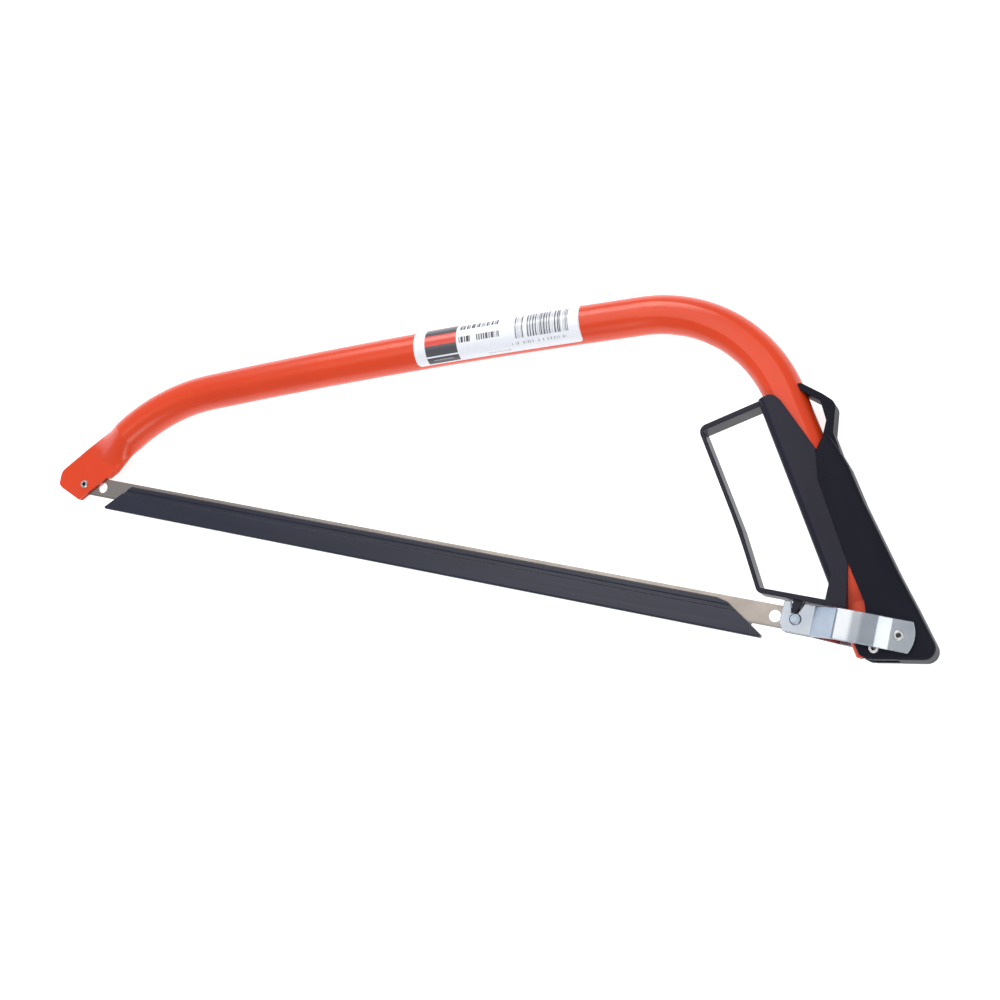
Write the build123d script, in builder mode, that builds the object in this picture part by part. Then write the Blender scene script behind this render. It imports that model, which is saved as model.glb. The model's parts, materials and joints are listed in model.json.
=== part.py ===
from build123d import *
from math import cos, radians, sin
import os

# A 21 inch bow saw lying on its right side. Every piece is drawn in the saw's own plane: x runs
# along the line of the blade's holes from nose to handle, y from the blade towards the bow, and z
# out of the left side. Its zero is just behind the front blade pin.

# ---- Where that zero is in the part's frame, whose origin is the middle of the underside
ZERO_X = -293.2
ZERO_Y = -87.0
MIDDLE_Z = 15.6

# ---- Blade and its cover
FRONT_PIN_X = -3.0
HOOK_PIN_X = 530.0
BLADE_THICK = 0.7
BLADE_TOP = 6.8
BLADE_PLAIN_BOTTOM = -6.7
BLADE_FRONT_END = 7.5  # blade beyond the front pin
BLADE_REAR_END = 11.5  # blade beyond the hook pin
TOOTH_TIP = -12.4
TOOTH_PITCH = 5.5
TOOTH_COUNT = 87
TEETH_START = 26.0
SPARE_HOLE_R = 3.7
SPARE_HOLES_X = (13.0, 517.0)
HOOK_SLOT_BACK = 4.9  # how far the hook pin can run back in the rear hole
HOOK_SLOT_HALF_HEIGHT = 4.1

COVER_TOP = 4.6
COVER_BOTTOM = -14.5
COVER_HALF_THICK = 2.6
COVER_GROOVE_DEPTH = 0.7
COVER_SLOT_HALF = 0.8
COVER_WEB = 1.4
COVER_TIP_FRONT = 20.2
COVER_TIP_REAR = 511.0

# ---- Bow tube
TUBE_R = 12.5
TUBE_WALL = 1.5
BOW_START = (23.6, 41.1)
BOW_START_HEADING = 50.3
FRONT_BEND_R = 132.5
FRONT_BEND_TURN = 32.0
TOP_R = 4880.0
TOP_TURN = 3.8
REAR_BEND_R = 92.7
LEG_HEADING = -57.6
LEG_LENGTH = 117.0  # straight oval stretch inside the handle
REAR_PRESS_LENGTH = 18.0
REAR_END_LENGTH = 45.0

LEG_HALF_WIDE = 12.6
LEG_HALF_THICK = 10.2
LEG_FLAT = 5.0  # half the flat on each side of the oval
END_HALF_WIDE = 18.4
END_HALF_THICK = 4.6
END_FLAT = 14.0

NOSE_HEADING = 47.0
NOSE_PRESS_HEADING = 67.4
NOSE_CENTRE = (6.9, 20.0)
NOSE_HALF_WIDE = 17.1
NOSE_HALF_THICK = 2.2
NOSE_FLAT = 15.2
NOSE_LENGTH = 60.0

# ---- Rivets, sleeves and the over-centre linkage
RIVET_R = 2.25
RIVET_BORE_R = 1.2
RIVET_HEAD_R = 3.0
RIVET_HEAD_H = 0.9
RUNNING_GAP = 0.07
SLEEVE_R = 3.2
PIVOT = (578.7, -8.5)
LINK_PIN = (591.3, 0.9)
TUBE_END_R = 11.4  # the link bush swings round outside it

# ---- Handle mouldings
HANDLE_HALF = 11.9
GUARD_HALF = 7.5
GUARD_BOW_R = 500.0  # slight bow of the guard's front bar
LEVER_CAVITY_HALF = 10.5
LEVER_BOSS_R = 6.4
LEVER_EDGE_R = 2.5  # rounding of the lever's two rear edges
LOOP_HALF = 7.5
GRIP_CLEARANCE = 0.15
LEVER_CLEARANCE = 0.4
BOSS_GAP = 0.4  # lever boss to the pressed end of the tube
LUG_HALF = 5.5
LUG_SLOT_HALF = 0.9

# ---- Link plates
LINK_THICK = 1.5
LINK_BEND_R = 2.5
LINK_CROWN_R = 30.0  # bends to each side of the flat on top of the bulge
LINK_HALF_WIDE = 9.1
LINK_MIDDLE_Y = 0.9
LINK_FRONT = 521.0
LINK_REAR = 600.3
LINK_TAB_Z = 2.5
LINK_BULGE_Z = 13.5
LINK_CROWN_Z = 14.1
LINK_PAD_Z = 12.05

# ---- Label
LABEL_START = 0.516  # as shares of the top tube's length
LABEL_END = 0.878
LABEL_THICK = 0.12
LABEL_BLADE_SIDE = 76.5  # degrees round the tube from its left side towards the blade
LABEL_BOW_SIDE = 103.5  # and the other way, over the top of the bow

# ---- Longer than anything it cuts through
THROUGH = 60.0


def side(height=0.0):
    """The saw's own plane, or one parallel to it, with its zero as the origin."""
    return Plane(origin=(ZERO_X, ZERO_Y, MIDDLE_Z + height), x_dir=(1, 0, 0), z_dir=(0, 0, 1))


def place(x, y, z=0.0):
    """A point of the saw's own plane in the part's frame."""
    return Vector(ZERO_X + x, ZERO_Y + y, MIDDLE_Z + z)


def corner(x, y):
    """The corner of the sketch being drawn that is nearest to a point."""
    return vertices().sort_by_distance((x, y))[0]


def polar(centre, radius, angle):
    """The point at a radius and an angle in degrees from a centre."""
    return (centre[0] + radius * cos(radians(angle)), centre[1] + radius * sin(radians(angle)))


def across(x, y, heading):
    """A plane that cuts the tube square to a heading, with its x to the right of the way it runs."""
    ahead = (cos(radians(heading)), sin(radians(heading)), 0)
    right = (sin(radians(heading)), -cos(radians(heading)), 0)
    return Plane(origin=place(x, y), x_dir=right, z_dir=ahead)


def tube_section(plane, half_wide, half_thick, flat, crown=0.0):
    """A closed tube section: two sides, flat or crowned, joined by two round edges."""
    with BuildSketch(plane) as section:
        with BuildLine():
            if crown > 0:
                ThreePointArc((-flat, half_thick), (0, half_thick + crown), (flat, half_thick))
                ThreePointArc((flat, -half_thick), (0, -half_thick - crown), (-flat, -half_thick))
            else:
                Line((-flat, half_thick), (flat, half_thick))
                Line((flat, -half_thick), (-flat, -half_thick))
            ThreePointArc((flat, half_thick), (half_wide, 0), (flat, -half_thick))
            ThreePointArc((-flat, -half_thick), (-half_wide, 0), (-flat, half_thick))
        make_face()
    return section.sketch


# The bow's centre line: front bend, long slightly arched top, rear bend
with BuildLine(side()) as bow_line:
    front_bend = JernArc(
        start=BOW_START,
        tangent=(cos(radians(BOW_START_HEADING)), sin(radians(BOW_START_HEADING))),
        radius=FRONT_BEND_R,
        arc_size=-FRONT_BEND_TURN,
    )
    top = JernArc(start=front_bend @ 1, tangent=front_bend % 1, radius=TOP_R, arc_size=-TOP_TURN)
REAR_BEND_START_HEADING = BOW_START_HEADING - FRONT_BEND_TURN - TOP_TURN


def rear_bend_place(turned):
    """Where the rear bend has got to, in the saw's own plane, after turning some degrees."""
    start = (top @ 1) - place(0, 0)
    heading = REAR_BEND_START_HEADING
    centre = polar((start.X, start.Y), REAR_BEND_R, heading - 90)
    return polar(centre, REAR_BEND_R, heading + 90 - turned)


def bow_solid(inset):
    """The bow tube as a filled solid, with its section shrunk by inset all round."""
    radius = TUBE_R - inset
    round_flat = LEG_FLAT * radius / TUBE_R
    round_side = (radius**2 - round_flat**2) ** 0.5
    turn = REAR_BEND_START_HEADING - LEG_HEADING
    bend_sections = []
    steps = 6
    for step in range(steps + 1):
        share = step / steps
        ease = share * share * (3 - 2 * share)
        spot = rear_bend_place(turn * share)
        half_wide = radius + (LEG_HALF_WIDE - inset - radius) * ease
        half_thick = round_side + (LEG_HALF_THICK - inset - round_side) * ease
        crown = (radius - round_side) * (1 - ease)
        plane = across(*spot, REAR_BEND_START_HEADING - turn * share)
        bend_sections.append(tube_section(plane, half_wide, half_thick, round_flat, crown))
    leg_start = rear_bend_place(turn)
    leg_end = polar(leg_start, LEG_LENGTH, LEG_HEADING)
    press_end = polar(leg_end, REAR_PRESS_LENGTH, LEG_HEADING)
    leg = bend_sections[-1]
    leg_foot = tube_section(
        across(*leg_end, LEG_HEADING), LEG_HALF_WIDE - inset, LEG_HALF_THICK - inset, round_flat
    )
    rear_end = tube_section(
        across(*press_end, LEG_HEADING), END_HALF_WIDE - inset, END_HALF_THICK - inset, END_FLAT
    )
    bow_foot = tube_section(
        across(*BOW_START, BOW_START_HEADING), radius, round_side, round_flat, radius - round_side
    )
    nose = tube_section(
        across(*NOSE_CENTRE, NOSE_PRESS_HEADING),
        NOSE_HALF_WIDE - inset,
        NOSE_HALF_THICK - inset,
        NOSE_FLAT,
    )
    leg_way = Vector(cos(radians(LEG_HEADING)), sin(radians(LEG_HEADING)), 0)
    nose_way = Vector(-cos(radians(NOSE_HEADING)), -sin(radians(NOSE_HEADING)), 0)
    with BuildPart() as solid:
        sweep(sections=bow_foot, path=bow_line.wire())
        loft(sections=bend_sections)
        extrude(leg, amount=LEG_LENGTH, dir=leg_way)
        loft(sections=[leg_foot, rear_end], ruled=True)
        extrude(rear_end, amount=REAR_END_LENGTH, dir=leg_way)
        loft(sections=[nose, bow_foot], ruled=True)
        extrude(nose, amount=NOSE_LENGTH, dir=nose_way)
    return solid.part


def rear_cut(clearance):
    """What is cut off the tube's rear end, or off the space the lever leaves for it."""
    end_r = TUBE_END_R + clearance
    with BuildSketch(side(-THROUGH / 2)) as cut:
        with BuildLine():
            upper = polar(PIVOT, end_r, 72)
            tip = polar(PIVOT, end_r, -16)
            Polyline(
                upper, (610, 18.0), (650, -10), (650, -80), (540, -80), (540, -14.9 - clearance),
                (570.4 - clearance, -14.9 - clearance), (573, -13.8 - clearance),
                (580.7, -13.2 - clearance), tip,
            )
            ThreePointArc(tip, polar(PIVOT, end_r, 26), upper)
        make_face()
    return cut.sketch


def behind_leg(spot):
    """Whether a point in the part's frame lies behind the tube's straight rear leg."""
    from_pivot = spot - place(*PIVOT)
    way_back = Vector(-sin(radians(LEG_HEADING)), cos(radians(LEG_HEADING)), 0)
    return from_pivot.dot(way_back) > TUBE_R


# ---- Bow tube: pressed flat and slotted at the nose for the blade, rounded off at the lever pivot
bow_outer = bow_solid(0.0)
bow_inner = bow_solid(TUBE_WALL)

with BuildPart() as bow_tube:
    add(bow_outer)
    add(bow_inner, mode=Mode.SUBTRACT)
    # The nose is cut to its rounded outline, with the slot's straight lip facing the blade
    with BuildSketch(side(-THROUGH / 2)):
        with BuildLine():
            Polyline(
                (-60, 15.6), (-19.2, 15.6), (-26.3, 6.2), (-25.4, -3.4), (-21.8, -5.7), (-4.5, -11.9),
                (11.5, 3.9), (14.6, 7.3), (25, 10.4), (33, 5), (33, -60), (-60, -60), close=True,
            )
        make_face()
        fillet(corner(-26.3, 6.2), radius=9)
        fillet(corner(-25.4, -3.4), radius=3)
        fillet(corner(-4.5, -11.9), radius=1.2)
    extrude(amount=THROUGH, mode=Mode.SUBTRACT)
    # The rear end is cut to a rounded outline that the link bush swings round
    extrude(rear_cut(0.0), amount=THROUGH, mode=Mode.SUBTRACT)
    with Locations(place(FRONT_PIN_X, 0)):
        Cylinder(RIVET_R, THROUGH, mode=Mode.SUBTRACT)
    with Locations(place(*PIVOT)):
        Cylinder(SLEEVE_R, THROUGH, mode=Mode.SUBTRACT)


# ---- Label: a sticker wrapped round the left side of the top tube
with BuildPart() as label:
    label_plane = Plane(origin=top @ LABEL_START, x_dir=(0, 0, 1), z_dir=top % LABEL_START)
    with BuildSketch(label_plane):
        label_r = TUBE_R + LABEL_THICK
        with BuildLine():
            for radius in (TUBE_R, label_r):
                ThreePointArc(
                    polar((0, 0), radius, -LABEL_BOW_SIDE),
                    (radius, 0),
                    polar((0, 0), radius, LABEL_BLADE_SIDE),
                )
            for angle in (-LABEL_BOW_SIDE, LABEL_BLADE_SIDE):
                Line(polar((0, 0), TUBE_R, angle), polar((0, 0), label_r, angle))
        make_face()
    with BuildLine() as label_line:
        ThreePointArc(top @ LABEL_START, top @ ((LABEL_START + LABEL_END) / 2), top @ LABEL_END)
    sweep(path=label_line.wire())


def rivet_outline(x, y, half_length):
    """Half the section of a hollow rivet with rolled heads, in a plane through its axis."""
    reach = half_length + RIVET_HEAD_H
    mouth = 0.35  # flare of the bore
    with BuildSketch(Plane(origin=place(x, y), x_dir=(1, 0, 0), z_dir=(0, -1, 0))) as outline:
        with BuildLine():
            upper = [
                (RIVET_BORE_R, reach - mouth), (RIVET_BORE_R + mouth, reach), (RIVET_HEAD_R - 0.4, reach),
                (RIVET_HEAD_R, reach - 0.5), (RIVET_HEAD_R, half_length), (RIVET_R, half_length),
            ]
            lower = [(r, -z) for r, z in reversed(upper)]
            Polyline(*upper, *lower, close=True)
        make_face()
    return outline.sketch


def ring(x, y, height, outer_r, inner_r):
    """A flat ring in a plane parallel to the saw's own."""
    with BuildSketch(side(height)) as section:
        with Locations((x, y)):
            Circle(outer_r)
            Circle(inner_r, mode=Mode.SUBTRACT)
    return section.sketch


# ---- Rivets: hollow, with a rolled head on each side
with BuildPart() as front_rivet:
    revolve(rivet_outline(FRONT_PIN_X, 0, NOSE_HALF_THICK), axis=Axis(place(FRONT_PIN_X, 0), (0, 0, 1)))

with BuildPart() as pivot_rivet:
    revolve(rivet_outline(*PIVOT, HANDLE_HALF), axis=Axis(place(*PIVOT), (0, 0, 1)))

with BuildPart() as link_rivet:
    revolve(rivet_outline(*LINK_PIN, LINK_PAD_Z + LINK_THICK), axis=Axis(place(*LINK_PIN), (0, 0, 1)))


# ---- Sleeve the pivot rivet turns in, and the lever's bush for the link rivet
with BuildPart() as pivot_sleeve:
    extrude(ring(*PIVOT, -END_HALF_THICK, SLEEVE_R, RIVET_R + RUNNING_GAP), amount=2 * END_HALF_THICK)

with BuildPart() as link_bush:
    extrude(ring(*LINK_PIN, -HANDLE_HALF, SLEEVE_R, RIVET_R + RUNNING_GAP), amount=2 * HANDLE_HALF)


# ---- Blade: plain ends with a spare hole, peg teeth between, and a long hole for the hook pin
with BuildPart() as blade:
    with BuildSketch(side(-BLADE_THICK / 2)):
        with BuildLine():
            front = FRONT_PIN_X - BLADE_FRONT_END
            rear = HOOK_PIN_X + BLADE_REAR_END
            outline = [(front, BLADE_TOP), (front, BLADE_PLAIN_BOTTOM), (TEETH_START, BLADE_PLAIN_BOTTOM)]
            for tooth in range(TOOTH_COUNT):
                gullet = TEETH_START + (tooth + 1) * TOOTH_PITCH
                outline += [(gullet - TOOTH_PITCH / 2, TOOTH_TIP), (gullet, BLADE_PLAIN_BOTTOM)]
            outline += [(rear, BLADE_PLAIN_BOTTOM), (rear, BLADE_TOP)]
            Polyline(*outline, close=True)
        make_face()
        corners = vertices().group_by(Axis.X)
        fillet(corners[0] + corners[-1], radius=4)
        with Locations((FRONT_PIN_X, 0)):
            Circle(RIVET_R + RUNNING_GAP, mode=Mode.SUBTRACT)
        with Locations(*[(x, 0) for x in SPARE_HOLES_X]):
            Circle(SPARE_HOLE_R, mode=Mode.SUBTRACT)
        slot_front = HOOK_PIN_X - RIVET_R - 0.3
        slot_back = HOOK_PIN_X + HOOK_SLOT_BACK + RIVET_R
        with Locations(((slot_front + slot_back) / 2, 0)):
            RectangleRounded(slot_back - slot_front, 2 * HOOK_SLOT_HALF_HEIGHT, 3.0, mode=Mode.SUBTRACT)
    extrude(amount=BLADE_THICK)


# ---- Blade cover: a folded plastic channel that pushes up over the teeth
with BuildPart() as blade_cover:
    waist = COVER_HALF_THICK - COVER_GROOVE_DEPTH
    with BuildSketch(Plane(origin=place(0, 0), x_dir=(0, 0, 1), z_dir=(-1, 0, 0))):
        with BuildLine():
            right = [
                (COVER_SLOT_HALF, COVER_BOTTOM + COVER_WEB), (COVER_SLOT_HALF, COVER_TOP),
                (COVER_HALF_THICK - 0.6, COVER_TOP), (COVER_HALF_THICK, COVER_TOP - 0.6),
                (COVER_HALF_THICK, COVER_TOP - 3.0), (waist, COVER_TOP - 3.6), (waist, COVER_TOP - 5.6),
                (COVER_HALF_THICK, COVER_TOP - 6.4), (COVER_HALF_THICK, COVER_BOTTOM + 1.2),
                (COVER_HALF_THICK - 0.9, COVER_BOTTOM),
            ]
            left = [(-z, y) for z, y in reversed(right)]
            Polyline(*right, *left, close=True)
        make_face()
    extrude(amount=-COVER_TIP_REAR)
    # Both ends slope back from the tip at the bottom
    with BuildSketch(side(-THROUGH / 2)):
        with BuildLine():
            Polyline(
                (-10, 20), (-10, -30), (COVER_TIP_FRONT, -30), (COVER_TIP_FRONT, -13.4), (39.5, COVER_TOP),
                (39.5, 20), close=True,
            )
        make_face()
        with BuildLine():
            Polyline(
                (480, 20), (480, COVER_TOP), (487, 3.0), (COVER_TIP_REAR - 0.2, -12.6), (540, -12.6),
                (540, 20), close=True,
            )
        make_face()
    extrude(amount=THROUGH, mode=Mode.SUBTRACT)


# ---- Front grip and knuckle guard: one moulding round the front of the tube
grip_gap = bow_solid(-GRIP_CLEARANCE)

with BuildPart() as knuckle_guard:
    with BuildSketch(side(-HANDLE_HALF)):
        with BuildLine():
            Polyline(
                (484.6, 121.8), (482.6, 126.3), (490.3, 131.4), (496.5, 127.6), (523.2, 101.4),
                (528.6, 82.7), (555.1, 37.0), (559.2, 11.1), (546.4, 11.1), (546.6, 22.0), close=True,
            )
        make_face()
        fillet(corner(490.3, 131.4), radius=6)
    extrude(amount=2 * HANDLE_HALF)
    front_edges = [
        edge
        for edge in edges()
        if edge.length > 80 and abs(abs(edge.center().Z - MIDDLE_Z) - HANDLE_HALF) < 0.01
    ]
    fillet(front_edges, radius=5)
    with BuildSketch(side(-GUARD_HALF)):
        with BuildLine():
            Polyline(
                (448.1, 104.7), (482.5, 126.3), (496.5, 124), (540, 60), (556.5, 11.1),
                (505.3, 11.1), (486.0, 46.0), close=True,
            )
        make_face()
        fillet(corner(448.1, 104.7), radius=5)
        fillet(corner(505.3, 11.1), radius=4)
        fillet(corner(486.0, 46.0), radius=GUARD_BOW_R)
        with BuildLine():
            Polyline(
                (451.9, 103.4), (484.2, 123.4), (492.6, 119.5), (553, 22.0), (549.6, 14.2),
                (506.4, 14.2), (488.15, 47.3), close=True,
            )
        make_face(mode=Mode.SUBTRACT)
    extrude(amount=2 * GUARD_HALF)
    add(grip_gap, mode=Mode.SUBTRACT)
    # The lug below the guard that straddles the blade and steadies the links
    with BuildSketch(side(-LUG_HALF)):
        with BuildLine():
            Polyline((526.7, 12), (527.9, 3.9), (530.2, 4.2), (532.9, 11.2), (532.9, 12), close=True)
        make_face()
    extrude(amount=2 * LUG_HALF)
    with BuildSketch(side(-LUG_SLOT_HALF)):
        with Locations((530, 6)):
            Rectangle(12, 10.6)
    extrude(amount=2 * LUG_SLOT_HALF, mode=Mode.SUBTRACT)


# ---- Tension lever: a deep channel that closes over the back of the tube, with a loop to pull it by
with BuildPart() as lever_gap:
    add(bow_solid(-LEVER_CLEARANCE))
    extrude(rear_cut(LEVER_CLEARANCE), amount=THROUGH, mode=Mode.SUBTRACT)
boss_face = END_HALF_THICK + BOSS_GAP

with BuildPart() as tension_lever:
    with BuildSketch(side(-HANDLE_HALF)):
        with BuildLine():
            Polyline(
                (523.33, 101.44), (528.72, 82.76), (555.21, 37.06), (562.9, 25.3), (568.9, 15.8),
                (570.6, 10), (567.2, -8.6), (571.2, -14.2), (576, -15.6), (617.5, -7.9), (597.8, 18.9),
                (583.5, 37.5), (570.6, 55.4), (556.7, 74.7), (543.8, 94.7), (534.5, 105.5), (528, 112),
                (524.9, 107.8), close=True,
            )
        make_face()
        fillet(corner(617.5, -7.9), radius=7)
        fillet(corner(576, -15.6), radius=5)
        fillet(corner(571.2, -14.2), radius=3)
    extrude(amount=2 * HANDLE_HALF)
    rear_edges = [
        edge
        for edge in edges()
        if abs(abs(edge.center().Z - MIDDLE_Z) - HANDLE_HALF) < 0.01 and behind_leg(edge.center())
    ]
    fillet(rear_edges, radius=LEVER_EDGE_R)
    # Hollow behind the tube, open to the front
    with BuildSketch(side(-LEVER_CAVITY_HALF)):
        with BuildLine():
            Polyline(
                (520, 101), (548, 30), (560, 10), (560, -30), (593, -30), (593, -9.6), (611.5, -6.0),
                (595.3, 17.6), (581.2, 36.2), (568.4, 54), (554.6, 73.2), (541.9, 93.2), (533, 102.6),
                close=True,
            )
        make_face()
    extrude(amount=2 * LEVER_CAVITY_HALF, mode=Mode.SUBTRACT)
    # A boss inside each cheek, beside the tube's pressed end, with the cheek thickened below it
    for low in (-LEVER_CAVITY_HALF, boss_face):
        with BuildSketch(side(low)):
            with Locations(PIVOT):
                Circle(LEVER_BOSS_R)
            with BuildLine():
                Polyline(
                    (571.5, -8.5), (571.5, -13.6), (575.6, -14.9), (579, -14.9), (600, -10.9),
                    (600, -8.5), close=True,
                )
            make_face()
        extrude(amount=LEVER_CAVITY_HALF - boss_face)
    with Locations(place(*PIVOT)):
        Cylinder(RIVET_R, THROUGH, mode=Mode.SUBTRACT)
    with Locations(place(*LINK_PIN)):
        Cylinder(SLEEVE_R, THROUGH, mode=Mode.SUBTRACT)
    # The pull loop
    with BuildSketch(side(-LOOP_HALF)):
        with BuildLine():
            Polyline(
                (503.4, 140.0), (505.6, 140.9), (519.7, 136.0), (528.6, 131.8), (530.6, 113.5), (538, 101),
                (524.5, 101), (524.9, 107.8), (525.2, 120), (519.2, 131.7), (506.2, 136.2), close=True,
            )
        make_face()
        fillet(corner(528.6, 131.8), radius=6)
    extrude(amount=2 * LOOP_HALF)
    add(lever_gap.part, mode=Mode.SUBTRACT)


# ---- Link plates: bent steel straps with a flat tab at the blade, a bulge over the tube and a pad
# on the lever
with BuildPart() as link_plate_left:
    with BuildSketch(Plane(origin=place(0, -THROUGH / 2), x_dir=(1, 0, 0), z_dir=(0, -1, 0))):
        with BuildLine():
            inner_line = FilletPolyline(
                (LINK_FRONT - 5, LINK_TAB_Z), (540.5, LINK_TAB_Z), (555.2, LINK_BULGE_Z),
                (563.5, LINK_CROWN_Z), (570.0, LINK_CROWN_Z), (578.5, LINK_BULGE_Z),
                (586.5, LINK_PAD_Z), (LINK_REAR + 5, LINK_PAD_Z),
                radius=[
                    LINK_BEND_R, LINK_BEND_R, LINK_CROWN_R, LINK_CROWN_R, LINK_BEND_R, LINK_BEND_R,
                ],
            )
            offset(inner_line, amount=LINK_THICK, side=Side.LEFT)
        make_face()
    extrude(amount=-THROUGH)
    with BuildSketch(side(-THROUGH / 2)):
        low = LINK_MIDDLE_Y - LINK_HALF_WIDE
        high = LINK_MIDDLE_Y + LINK_HALF_WIDE
        with BuildLine():
            Line((LINK_FRONT + 0.6, high), (LINK_REAR - 2.4, high))
            ThreePointArc((LINK_REAR - 2.4, high), (LINK_REAR, LINK_MIDDLE_Y), (LINK_REAR - 2.4, low))
            Polyline(
                (LINK_REAR - 2.4, low), (LINK_FRONT + 3.0, low), (LINK_FRONT, -3.5), (LINK_FRONT + 0.6, high)
            )
        make_face()
        with BuildLine():
            Polyline(
                (525.6, 20), (525.6, 9.9), (526.9, 3.2), (530.9, 3.4), (533.9, 9.9), (533.9, 20), close=True
            )
        make_face(mode=Mode.SUBTRACT)
    extrude(amount=THROUGH, mode=Mode.INTERSECT)
    with Locations(place(HOOK_PIN_X, 0), place(*LINK_PIN)):
        Cylinder(RIVET_R, THROUGH, mode=Mode.SUBTRACT)

with BuildPart() as link_plate_right:
    mirror(link_plate_left.part, about=side())


# ---- Hook pin: a shouldered pin held between the link plates, through the long hole of the blade
with BuildPart() as hook_pin:
    with BuildSketch(Plane(origin=place(HOOK_PIN_X, 0), x_dir=(1, 0, 0), z_dir=(0, -1, 0))):
        with BuildLine():
            plate_face = LINK_TAB_Z + LINK_THICK
            neck = BLADE_THICK / 2 + 0.4
            upper = [
                (0, plate_face + 0.9), (2.9, plate_face + 0.8), (3.6, plate_face + 0.3), (3.6, plate_face),
                (RIVET_R, plate_face), (RIVET_R, LINK_TAB_Z), (3.2, LINK_TAB_Z), (3.2, neck),
                (RIVET_R, neck),
            ]
            lower = [(r, -z) for r, z in reversed(upper)]
            Polyline(*upper, *lower, close=True)
        make_face()
    revolve(axis=Axis(place(HOOK_PIN_X, 0), (0, 0, 1)))


pieces = {
    "bow_tube": bow_tube,
    "label": label,
    "front_rivet": front_rivet,
    "blade": blade,
    "blade_cover": blade_cover,
    "knuckle_guard": knuckle_guard,
    "tension_lever": tension_lever,
    "pivot_sleeve": pivot_sleeve,
    "pivot_rivet": pivot_rivet,
    "link_bush": link_bush,
    "link_rivet": link_rivet,
    "link_plate_left": link_plate_left,
    "link_plate_right": link_plate_right,
    "hook_pin": hook_pin,
}
os.makedirs("parts", exist_ok=True)
for name, piece in pieces.items():
    piece.part.label = name
    export_step(piece.part, f"parts/{name}.step")
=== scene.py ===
import json
import math

import bpy
from mathutils import Matrix, Vector


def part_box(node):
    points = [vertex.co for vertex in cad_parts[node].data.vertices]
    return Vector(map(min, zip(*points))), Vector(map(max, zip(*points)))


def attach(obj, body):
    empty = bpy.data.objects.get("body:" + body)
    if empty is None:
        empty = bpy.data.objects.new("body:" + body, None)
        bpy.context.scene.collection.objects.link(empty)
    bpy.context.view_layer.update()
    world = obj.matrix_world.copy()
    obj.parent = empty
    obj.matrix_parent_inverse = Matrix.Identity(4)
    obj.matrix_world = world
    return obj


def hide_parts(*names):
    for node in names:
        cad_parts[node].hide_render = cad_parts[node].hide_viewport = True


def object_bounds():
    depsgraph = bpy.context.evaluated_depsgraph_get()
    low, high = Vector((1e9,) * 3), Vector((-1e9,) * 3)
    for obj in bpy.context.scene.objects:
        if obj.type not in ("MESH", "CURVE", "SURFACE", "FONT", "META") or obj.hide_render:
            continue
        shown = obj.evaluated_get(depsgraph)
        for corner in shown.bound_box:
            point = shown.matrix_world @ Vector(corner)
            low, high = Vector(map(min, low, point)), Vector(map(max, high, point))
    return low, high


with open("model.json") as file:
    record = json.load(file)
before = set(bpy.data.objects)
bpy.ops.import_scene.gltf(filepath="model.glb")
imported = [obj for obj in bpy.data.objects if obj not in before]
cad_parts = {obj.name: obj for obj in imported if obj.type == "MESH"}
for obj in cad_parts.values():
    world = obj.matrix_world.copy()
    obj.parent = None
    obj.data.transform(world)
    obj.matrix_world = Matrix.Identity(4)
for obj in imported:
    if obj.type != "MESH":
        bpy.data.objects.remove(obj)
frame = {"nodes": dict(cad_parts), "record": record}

MM = 0.001
UP = Vector((0, 0, 1))

cad_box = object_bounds()
nodes = frame["nodes"]
stage_scene = bpy.context.scene
stage_scene.view_settings.view_transform = "Standard"


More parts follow.
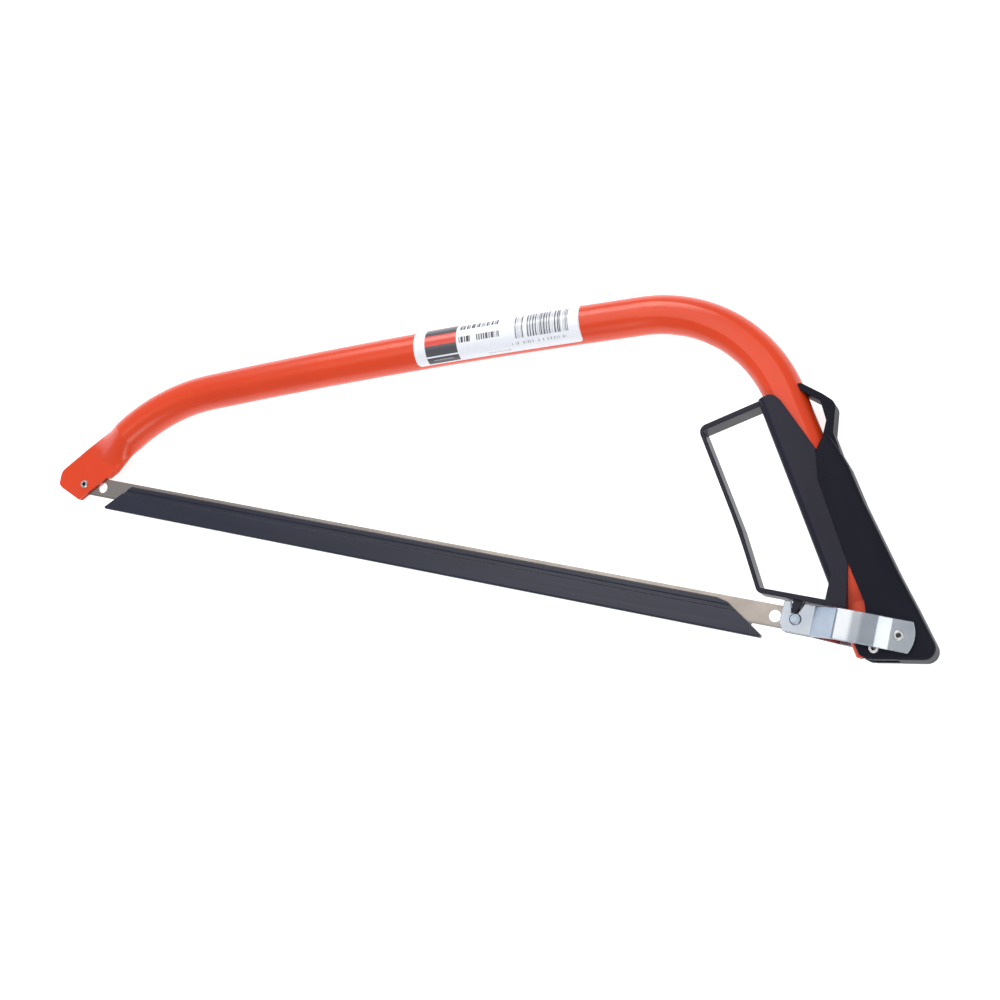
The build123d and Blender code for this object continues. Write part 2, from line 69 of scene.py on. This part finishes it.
class Graph:
    """A node material being built: short calls for adding nodes and joining them."""

    def __init__(self, name):
        self.material = bpy.data.materials.new(name)
        self.material.use_nodes = True
        self.tree = self.material.node_tree
        self.shader = self.tree.nodes["Principled BSDF"]
        self.here = self.add("ShaderNodeTexCoord").outputs["Object"]

    def add(self, kind, inputs=None, **settings):
        """A new node, with its settings made and its inputs set or joined."""
        node = self.tree.nodes.new(kind)
        for key, value in settings.items():
            setattr(node, key, value)
        for key, value in (inputs or {}).items():
            self.feed(node.inputs[key], value)
        return node

    def feed(self, socket, value):
        """Joins another node's output to a socket, or sets the socket's own value."""
        if isinstance(value, bpy.types.NodeSocket):
            self.tree.links.new(value, socket)
        else:
            socket.default_value = value

    def set(self, **values):
        """Sets or joins the shader's sockets, named with _ for spaces."""
        for key, value in values.items():
            self.feed(self.shader.inputs[key.replace("_", " ")], value)

    def stretched(self, scale, turn=0.0):
        """The object's own coordinates, turned about Z and scaled along each axis."""
        turned = self.add(
            "ShaderNodeMapping", {"Vector": self.here, "Rotation": (0, 0, -turn)}
        ).outputs["Vector"]
        return self.add("ShaderNodeMapping", {"Vector": turned, "Scale": scale}).outputs["Vector"]

    def noise(self, scale, detail=3.0, roughness=0.55, where=None):
        """Noise from 0 to 1, with features about 1/scale metres across."""
        place = where or self.here
        return self.add(
            "ShaderNodeTexNoise",
            {"Vector": place, "Scale": scale, "Detail": detail, "Roughness": roughness},
        ).outputs["Fac"]

    def remap(self, value, low, high, to_low=0.0, to_high=1.0):
        """A value carried from one range to another and held there."""
        return self.add(
            "ShaderNodeMapRange",
            {0: value, 1: low, 2: high, 3: to_low, 4: to_high},
            clamp=True,
        ).outputs["Result"]

    def blend(self, factor, one, two):
        """Two colours mixed by a factor."""
        node = self.add("ShaderNodeMix", data_type="RGBA")
        self.feed(node.inputs["Factor"], factor)
        self.feed(node.inputs["A"], one)
        self.feed(node.inputs["B"], two)
        return node.outputs["Result"]

    def times(self, one, two):
        """One value times another."""
        return self.add("ShaderNodeMath", {0: one, 1: two}, operation="MULTIPLY").outputs[0]

    def edges(self, radius):
        """How near a point is to a sharp edge, from 0 to 1."""
        rounded = self.add("ShaderNodeBevel", {"Radius": radius}).outputs["Normal"]
        plain = self.add("ShaderNodeNewGeometry").outputs["Normal"]
        agree = self.add(
            "ShaderNodeVectorMath", {0: rounded, 1: plain}, operation="DOT_PRODUCT"
        ).outputs["Value"]
        return self.remap(agree, 0.995, 0.80)

    def from_axis(self, node):
        """How far a point is from the upright axis of a round CAD node, in metres."""
        low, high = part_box(node)
        middle = ((low.x + high.x) / 2, (low.y + high.y) / 2, 0)
        flat = self.stretched((1, 1, 0))
        return self.add(
            "ShaderNodeVectorMath", {0: flat, 1: middle}, operation="DISTANCE"
        ).outputs["Value"]

    def relief(self, height, strength, depth, round_edges):
        """The shader's normal: rounded edges, with a height as bumps of a depth in metres."""
        rounded = self.add("ShaderNodeBevel", {"Radius": round_edges}).outputs["Normal"]
        bumps = {"Height": height, "Strength": strength, "Distance": depth, "Normal": rounded}
        self.set(Normal=self.add("ShaderNodeBump", bumps).outputs["Normal"])


# ---- Finishes: one function for each, with linear colours and noise scales in 1/metres
HANDLE_LEAN = math.radians(-57.6)  # the handle's direction in the saw's plane
TEETH_DEEP = 6.2 * MM  # from the blade's lowest point up to where the blueing ends
BLUED_FADE = 1.2 * MM
# The radius and fade of the painted shade in each rivet's hollow
HOLLOW_R = 1.25 * MM
HOLLOW_FADE = 0.3 * MM
# Where the painted shade ring on the pin's head begins, and its fade
PIN_RIM_R = 3.3 * MM
PIN_RIM_FADE = 0.4 * MM


def orange_enamel():
    """Thick glossy enamel with slight orange peel, dulled in patches and darker at the edges."""
    fresh, faded = (0.78, 0.058, 0.008, 1), (0.70, 0.048, 0.007, 1)
    worn, dust = (0.42, 0.032, 0.012, 1), (0.86, 0.22, 0.12, 1)
    g = Graph("orange_enamel_paint")
    colour = g.blend(g.remap(g.noise(14, 4), 0.35, 0.7), fresh, faded)
    colour = g.blend(g.times(g.edges(0.9 * MM), 0.55), colour, worn)
    specks = g.remap(g.noise(2600, 2), 0.74, 0.80)
    colour = g.blend(g.times(specks, 0.30), colour, dust)
    handled = g.remap(g.noise(55, 5, 0.65), 0.35, 0.75, 0.30, 0.44)
    g.set(Base_Color=colour, Roughness=handled, Specular_IOR_Level=0.25)
    g.set(Coat_Weight=0.45, Coat_Roughness=0.22)
    peel = g.noise(900, 2, 0.4)
    g.relief(peel, 0.10, 0.08 * MM, 0.6 * MM)
    return g.material


def moulded_plastic(name, dark, pale, rough, gloss):
    """Injection-moulded plastic: fine spark grain, faint flow marks and scuffed edges."""
    pale_edge_tone, dust = (0.06, 0.062, 0.070, 1), (0.15, 0.15, 0.15, 1)
    g = Graph(name)
    grain = g.noise(2300, 3, 0.6)
    flow = g.noise(1, 3, 0.5, g.stretched((14, 60, 20), HANDLE_LEAN))
    colour = g.blend(g.remap(flow, 0.35, 0.7), dark, pale)
    pale_edge_mask = g.times(g.edges(0.8 * MM), g.remap(g.noise(160, 4), 0.42, 0.62))
    colour = g.blend(g.times(pale_edge_mask, 0.4), colour, pale_edge_tone)
    specks = g.remap(g.noise(700, 4, 0.7), 0.62, 0.75)
    colour = g.blend(g.times(specks, 0.06), colour, dust)
    dulled = g.remap(grain, 0.3, 0.7, rough - 0.06, rough + 0.08)
    g.set(Base_Color=colour, Roughness=dulled, Specular_IOR_Level=gloss)
    g.relief(grain, 0.22, 0.05 * MM, 1.2 * MM)
    return g.material


def grip_and_guard():
    dark, pale = (0.0105, 0.0092, 0.0200, 1), (0.0140, 0.0126, 0.0250, 1)
    return moulded_plastic("guard_moulding", dark, pale, rough=0.36, gloss=0.26)


def lever_plastic():
    dark, pale = (0.0092, 0.0090, 0.0160, 1), (0.0118, 0.0116, 0.0190, 1)
    return moulded_plastic("lever_moulding", dark, pale, rough=0.44, gloss=0.08)


def extruded_cover():
    """Dark extruded plastic: die lines along its length, and pale edges that are part scrapes and
    part a painted edge highlight.
    """
    dark, pale = (0.0095, 0.0100, 0.0230, 1), (0.0140, 0.0145, 0.0310, 1)
    pale_edge_tone = (0.10, 0.10, 0.12, 1)
    g = Graph("cover_extrusion")
    lines = g.noise(1, 2, 0.5, g.stretched((3, 2600, 2600)))
    cloud = g.noise(1, 3, 0.5, g.stretched((9, 60, 60)))
    colour = g.blend(g.remap(cloud, 0.35, 0.7), dark, pale)
    # Painted highlight: the edges lightened in patches, part scrape and part a painted edge
    # highlight
    pale_edge_mask = g.times(g.edges(0.7 * MM), g.remap(g.noise(90, 4), 0.35, 0.6))
    colour = g.blend(g.times(pale_edge_mask, 0.5), colour, pale_edge_tone)
    g.set(Base_Color=colour, Roughness=g.remap(lines, 0.3, 0.7, 0.30, 0.42))
    g.relief(lines, 0.20, 0.05 * MM, 0.4 * MM)
    return g.material


def blade_steel():
    """Ground spring steel: grinding lines across its length, oil stains, blued at the teeth."""
    bright, oiled = (0.38, 0.33, 0.29, 1), (0.30, 0.26, 0.23, 1)
    ground, blue = (0.55, 0.50, 0.45, 1), (0.10, 0.12, 0.17, 1)
    g = Graph("blade_ground_steel")
    grind = g.noise(1, 3, 0.6, g.stretched((4200, 45, 45)))
    stains = g.noise(38, 5, 0.6)
    colour = g.blend(g.remap(stains, 0.38, 0.68), bright, oiled)
    colour = g.blend(g.remap(grind, 0.25, 0.75, 0.0, 0.25), colour, ground)
    height = g.add("ShaderNodeSeparateXYZ", {"Vector": g.here}).outputs["Y"]
    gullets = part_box("blade")[0].y + TEETH_DEEP
    blued = g.remap(height, gullets + BLUED_FADE, gullets - BLUED_FADE)
    colour = g.blend(g.times(blued, 0.75), colour, blue)
    g.set(Base_Color=colour, Metallic=1.0, Roughness=g.remap(stains, 0.3, 0.7, 0.30, 0.42))
    g.relief(grind, 0.15, 0.03 * MM, 0.15 * MM)
    return g.material


def zinc_plate():
    """Bright zinc-plated sheet: brushed along its length, a faint blue cloud, worn edges."""
    bright, blue = (0.49, 0.51, 0.53, 1), (0.37, 0.41, 0.48, 1)
    brushed, dull = (0.62, 0.62, 0.62, 1), (0.46, 0.44, 0.40, 1)
    worn = (0.88, 0.89, 0.90, 1)
    g = Graph("zinc_plated_sheet")
    rolled = g.noise(1, 4, 0.65, g.stretched((60, 2600, 900)))
    cloud = g.noise(45, 3, 0.5)
    colour = g.blend(g.remap(cloud, 0.35, 0.7), bright, blue)
    colour = g.blend(g.remap(rolled, 0.25, 0.75, 0.0, 0.22), colour, brushed)
    stain = g.remap(g.noise(75, 4, 0.7), 0.60, 0.74)
    colour = g.blend(g.times(stain, 0.18), colour, dull)
    colour = g.blend(g.times(g.edges(0.4 * MM), 0.6), colour, worn)
    g.set(Base_Color=colour, Metallic=1.0, Roughness=g.remap(rolled, 0.3, 0.7, 0.20, 0.27))
    g.relief(rolled, 0.07, 0.02 * MM, 1.0 * MM)
    return g.material


def nickel_rivet():
    """Nickel-plated rivet: marked by the rolling tool, with painted shade in the hollow."""
    bright, dull = (0.78, 0.76, 0.72, 1), (0.62, 0.61, 0.58, 1)
    hollow_shade, worn = (0.045, 0.050, 0.062, 1), (0.90, 0.88, 0.83, 1)
    g = Graph("nickel_plating")
    marks = g.noise(1500, 4, 0.6)
    colour = g.blend(g.remap(marks, 0.35, 0.7), bright, dull)
    # Painted shade: each rivet's hollow is darkened round its axis, where shade falls
    for rivet in ("front_rivet", "pivot_rivet", "link_rivet"):
        hollow = g.remap(g.from_axis(rivet), HOLLOW_R + HOLLOW_FADE, HOLLOW_R)
        colour = g.blend(hollow, colour, hollow_shade)
    colour = g.blend(g.times(g.edges(0.3 * MM), 0.5), colour, worn)
    g.set(Base_Color=colour, Metallic=1.0, Roughness=g.remap(marks, 0.3, 0.7, 0.18, 0.34))
    g.relief(marks, 0.12, 0.04 * MM, 0.3 * MM)
    return g.material


def turned_steel():
    """Plain turned steel: dull zinc over fine tool rings, with a painted shade ring at the rim of
    the pin's head.
    """
    bright, dull = (0.44, 0.50, 0.56, 1), (0.30, 0.35, 0.41, 1)
    rim_shade = (0.07, 0.08, 0.10, 1)
    g = Graph("turned_steel")
    rings = g.noise(1, 3, 0.6, g.stretched((400, 400, 9000)))
    cloud = g.noise(220, 4)
    colour = g.blend(g.remap(cloud, 0.35, 0.7), bright, dull)
    # Painted shade: a dark ring at the rim of the pin's head, standing for the shade in the gap
    # round it
    rim = g.remap(g.from_axis("hook_pin"), PIN_RIM_R - PIN_RIM_FADE, PIN_RIM_R)
    colour = g.blend(g.times(rim, 0.8), colour, rim_shade)
    g.set(Base_Color=colour, Metallic=1.0, Roughness=g.remap(cloud, 0.3, 0.7, 0.28, 0.42))
    g.relief(rings, 0.2, 0.03 * MM, 0.2 * MM)
    return g.material


# ---- The label: a thin sheet with round corners, wrapped on the tube where the CAD label lies
LABEL_LIFT = 0.05 * MM
LABEL_THICK = 0.1 * MM
LABEL_CORNER = 2.5 * MM
LABEL_END = 2 * MM  # how much of the CAD label's length counts as its end
LABEL_BLADE_SIDE = 76  # degrees round the tube from its left side towards the blade
LABEL_BOW_SIDE = 103  # and the other way, over the top of the bow
LABEL_COLUMNS = 96
LABEL_ROWS = 64
TUBE_ARCH_R = 4880 * MM  # the top tube's slight arch


def label_axis():
    """The tube's centre line under the label: its two ends, and the label's outer radius."""
    tube_low, tube_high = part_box("bow_tube")
    middle_z = (tube_low.z + tube_high.z) / 2
    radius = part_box("label")[1].z - middle_z
    points = [v.co for v in nodes["label"].data.vertices]
    middle = sum(points, Vector()) / len(points)
    spread_x = sum((p.x - middle.x) ** 2 for p in points)
    spread_y = sum((p.y - middle.y) ** 2 for p in points)
    mixed = sum((p.x - middle.x) * (p.y - middle.y) for p in points)
    heading = 0.5 * math.atan2(2 * mixed, spread_x - spread_y)
    way = Vector((math.cos(heading), math.sin(heading), 0))
    across = way.cross(UP)
    along = [p.dot(way) for p in points]
    ends = []
    for place in (min(along), max(along)):
        rim = [p for p, a in zip(points, along) if abs(a - place) < LABEL_END]
        bow_side = min(p.dot(across) for p in rim)
        end = way * place + across * (bow_side + radius)
        end.z = middle_z
        ends.append(end)
    return ends[0], ends[1], radius


def label_grid():
    """The sheet's points, row by row round the tube, and each one's place in label millimetres."""
    start, end, radius = label_axis()
    length = (end - start).length
    way = (end - start).normalized()
    across = way.cross(UP)
    verts, uvs = [], []
    for i in range(LABEL_COLUMNS + 1):
        u = -length / 2 + length * i / LABEL_COLUMNS
        arch = (length**2 / 4 - u**2) / (2 * TUBE_ARCH_R)
        centre = (start + end) / 2 + way * u - across * arch
        inset = max(0.0, LABEL_CORNER - (length / 2 - abs(u)))
        drawn_in = LABEL_CORNER - math.sqrt(max(0.0, LABEL_CORNER**2 - inset**2))
        low = -radius * math.radians(LABEL_BLADE_SIDE) + drawn_in
        high = radius * math.radians(LABEL_BOW_SIDE) - drawn_in
        for j in range(LABEL_ROWS + 1):
            v = low + (high - low) * j / LABEL_ROWS
            out = UP * math.cos(v / radius) - across * math.sin(v / radius)
            verts.append(centre + out * (radius + LABEL_LIFT))
            uvs.append((u / MM, v / MM))
    return verts, uvs


def build_label():
    """The label's film as one smooth sheet, with a millimetre grid for its print."""
    verts, uvs = label_grid()
    step = LABEL_ROWS + 1
    faces = []
    for i in range(LABEL_COLUMNS):
        for j in range(LABEL_ROWS):
            a = i * step + j
            faces.append((a, a + step, a + step + 1, a + 1))
    mesh = bpy.data.meshes.new("label_sheet")
    mesh.from_pydata(verts, [], faces)
    layer = mesh.uv_layers.new(name="millimetres")
    for loop in mesh.loops:
        layer.data[loop.index].uv = uvs[loop.vertex_index]
    mesh.polygons.foreach_set("use_smooth", [True] * len(mesh.polygons))
    sheet = bpy.data.objects.new("label_sheet", mesh)
    stage_scene.collection.objects.link(sheet)
    thick = sheet.modifiers.new("film", "SOLIDIFY")
    thick.thickness = LABEL_THICK
    thick.offset = -1
    return sheet


INK = (0.030, 0.030, 0.040, 1)
INK_GREY = (0.075, 0.075, 0.085, 1)
INK_PALE = (0.42, 0.43, 0.46, 1)
INK_RED = (0.72, 0.055, 0.035, 1)
FILM_WHITE = (0.90, 0.90, 0.93, 1)
FILM_SHADED = (0.84, 0.84, 0.88, 1)
PRINT_SOFT = 0.12  # half the width of a printed edge, in millimetres
BAR_SOFT = 0.02  # half the width of a bar's edge, in noise

# Filled rectangles, in label millimetres: along from, along to, round from, round to, colour
PRINT_BLOCKS = [
    (-50.5, -27.5, -15.6, 19, INK_GREY),
    (-50.5, -27.5, -2.4, 5.2, INK_RED),
    (-52, -26, -10.6, -9.5, FILM_WHITE),
]

# Rectangles of uneven bars: the same four places, bars per millimetre, seed, cut, colour
PRINT_BARS = [
    (-25.5, 3.0, 5.9, 10.5, 0.85, 3.0, 0.50, INK),
    (-25.5, -17.5, -3.4, 0.6, 0.75, 7.0, 0.44, INK),
    (-13.5, 3.2, -3.4, 0.6, 1.25, 37.0, 0.49, INK),
    (-6.5, 9.5, -14.6, -13.8, 2.2, 29.0, 0.47, INK_PALE),
    (14.5, 51, -6.6, 10.8, 1.90, 53.0, 0.52, INK_PALE),
    (14.5, 51, -6.6, 10.8, 1.05, 11.0, 0.52, INK),
    (11, 50, -11.0, -9.0, 0.95, 17.0, 0.53, INK_PALE),
    (-46, -32, -13.4, -12.4, 2.6, 31.0, 0.50, INK_PALE),
]


def label_print():
    """White film with plain printed blocks: a striped panel, rows of ticks, a field of bars."""
    g = Graph("label_print")
    uv = g.add("ShaderNodeUVMap", uv_map="millimetres").outputs["UV"]
    split = g.add("ShaderNodeSeparateXYZ", {"Vector": uv})
    u, v = split.outputs["X"], split.outputs["Y"]

    def inside(u0, u1, v0, v1):
        """1 inside a rectangle in label millimetres, fading to 0 over its edges."""
        value = g.remap(u, u0 - PRINT_SOFT, u0 + PRINT_SOFT)
        value = g.times(value, g.remap(u, u1 + PRINT_SOFT, u1 - PRINT_SOFT))
        value = g.times(value, g.remap(v, v0 - PRINT_SOFT, v0 + PRINT_SOFT))
        return g.times(value, g.remap(v, v1 + PRINT_SOFT, v1 - PRINT_SOFT))

    def bars(scale, seed, cut):
        """Uneven upright bars along the label."""
        along = g.add(
            "ShaderNodeCombineXYZ", {"X": g.times(u, scale), "Y": seed, "Z": 0.0}
        ).outputs["Vector"]
        grain = g.add(
            "ShaderNodeTexNoise", {"Vector": along, "Scale": 1.0, "Detail": 0.0}
        ).outputs["Fac"]
        return g.remap(grain, cut - BAR_SOFT, cut + BAR_SOFT)

    colour = g.blend(g.remap(g.noise(400, 3), 0.3, 0.7), FILM_WHITE, FILM_SHADED)
    for u0, u1, v0, v1, tone in PRINT_BLOCKS:
        colour = g.blend(inside(u0, u1, v0, v1), colour, tone)
    for u0, u1, v0, v1, scale, seed, cut, tone in PRINT_BARS:
        printed = g.times(inside(u0, u1, v0, v1), bars(scale, seed, cut))
        colour = g.blend(printed, colour, tone)
    g.set(Base_Color=colour, Roughness=g.remap(g.noise(500, 3), 0.3, 0.7, 0.28, 0.36))
    g.set(Coat_Weight=0.3, Coat_Roughness=0.1)
    ripple = g.noise(1, 3, 0.5, g.stretched((160, 160, 160)))
    g.relief(ripple, 0.08, 0.2 * MM, 0.1 * MM)
    return g.material


label = build_label()
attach(label, "frame")
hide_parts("label")

finishes = {
    "orange_enamel": orange_enamel(),
    "nickel_rivet": nickel_rivet(),
    "plain_steel": turned_steel(),
    "blade_steel": blade_steel(),
    "cover_plastic": extruded_cover(),
    "guard_plastic": grip_and_guard(),
    "lever_plastic": lever_plastic(),
    "zinc_plate": zinc_plate(),
    "label_film": label_print(),
}
for part in frame["record"]["subparts"]:
    slots = nodes[part["node"]].data.materials
    for index in range(len(slots)):
        slots[index] = finishes[part["material_slot"]]
label.data.materials.append(finishes["label_film"])


# ---- Floor, light and camera
FLOOR_HALF = 6.0
FLOOR_GAP = 0.2 * MM
FLOOR_GLOW = 0.8


def floor():
    """A pale floor just under the saw, with some light of its own, as on a light table."""
    z = cad_box[0].z - FLOOR_GAP
    mesh = bpy.data.meshes.new("floor")
    corners = [
        (-FLOOR_HALF, -FLOOR_HALF, z),
        (FLOOR_HALF, -FLOOR_HALF, z),
        (FLOOR_HALF, FLOOR_HALF, z),
        (-FLOOR_HALF, FLOOR_HALF, z),
    ]
    mesh.from_pydata(corners, [], [(0, 1, 2, 3)])
    obj = bpy.data.objects.new("floor", mesh)
    stage_scene.collection.objects.link(obj)
    g = Graph("pale_floor")
    tone = g.blend(g.noise(9, 3), (0.59, 0.59, 0.59, 1), (0.62, 0.62, 0.62, 1))
    g.set(Base_Color=tone, Roughness=0.8)
    g.set(Emission_Color=(1, 1, 1, 1), Emission_Strength=FLOOR_GLOW)
    mesh.materials.append(g.material)


def area_light(name, place, target, width, height, power, colour=(1, 1, 1)):
    """A soft box at a place, facing a target, with its sides in metres and power in watts."""
    data = bpy.data.lights.new(name, "AREA")
    data.shape = "RECTANGLE"
    data.size, data.size_y = width, height
    data.energy, data.color = power, colour
    light = bpy.data.objects.new(name, data)
    light.location = place
    light.rotation_mode = "QUATERNION"
    light.rotation_quaternion = (Vector(target) - Vector(place)).to_track_quat("-Z", "Y")
    stage_scene.collection.objects.link(light)


def studio():
    """A pale blue room with two soft boxes overhead, a panel to the left, a key and a fill."""
    world = bpy.data.worlds.new("studio")
    world.use_nodes = True
    background = world.node_tree.nodes["Background"]
    background.inputs["Color"].default_value = (0.80, 0.89, 1.0, 1)
    background.inputs["Strength"].default_value = 0.48
    stage_scene.world = world
    warm, blue = (1.0, 0.97, 0.93), (0.68, 0.84, 1.0)
    area_light("overhead_left", (-0.55, 0.15, 1.9), (-0.55, 0.15, 0), 0.8, 1.6, 7, warm)
    area_light("overhead_right", (0.86, 0.1, 1.8), (0.86, 0.1, 0), 0.6, 1.6, 7)
    area_light("left_panel", (-2.3, 0.1, 0.55), (0, 0, 0.1), 1.4, 0.9, 4.5, blue)
    area_light("key", (-0.75, 1.35, 1.35), (0, 0, 0), 1.3, 0.8, 21, warm)
    area_light("fill", (0.6, -1.5, 1.0), (0, 0, 0), 1.2, 0.7, 9, warm)


# The camera stands above and just beyond the handle, and looks down and forward at the saw
joints = frame["record"]["behaviour"]["joints"]
FRONT_PIN = Vector(next(joint["pos_m"] for joint in joints if joint["name"] == "blade_pivot"))
CAMERA_PLACE = FRONT_PIN + Vector((728.6, -82.5, 878.1)) * MM
CAMERA_RIGHT = Vector((0.8984, 0.2233, -0.3781))
CAMERA_UP = Vector((-0.1537, 0.9665, 0.2056))
LENS_MM = 54
SENSOR_MM = 36


def camera():
    """The scene's camera, set square from its right and up directions."""
    data = bpy.data.cameras.new("camera")
    data.sensor_width = SENSOR_MM
    data.lens = LENS_MM
    data.clip_start, data.clip_end = 0.01, 50
    back = CAMERA_RIGHT.cross(CAMERA_UP).normalized()
    right = CAMERA_UP.cross(back).normalized()
    up = back.cross(right)
    turn = Matrix((right, up, back)).transposed()
    obj = bpy.data.objects.new("camera", data)
    obj.matrix_world = Matrix.Translation(CAMERA_PLACE) @ turn.to_4x4()
    stage_scene.collection.objects.link(obj)
    stage_scene.camera = obj


floor()
studio()
camera()
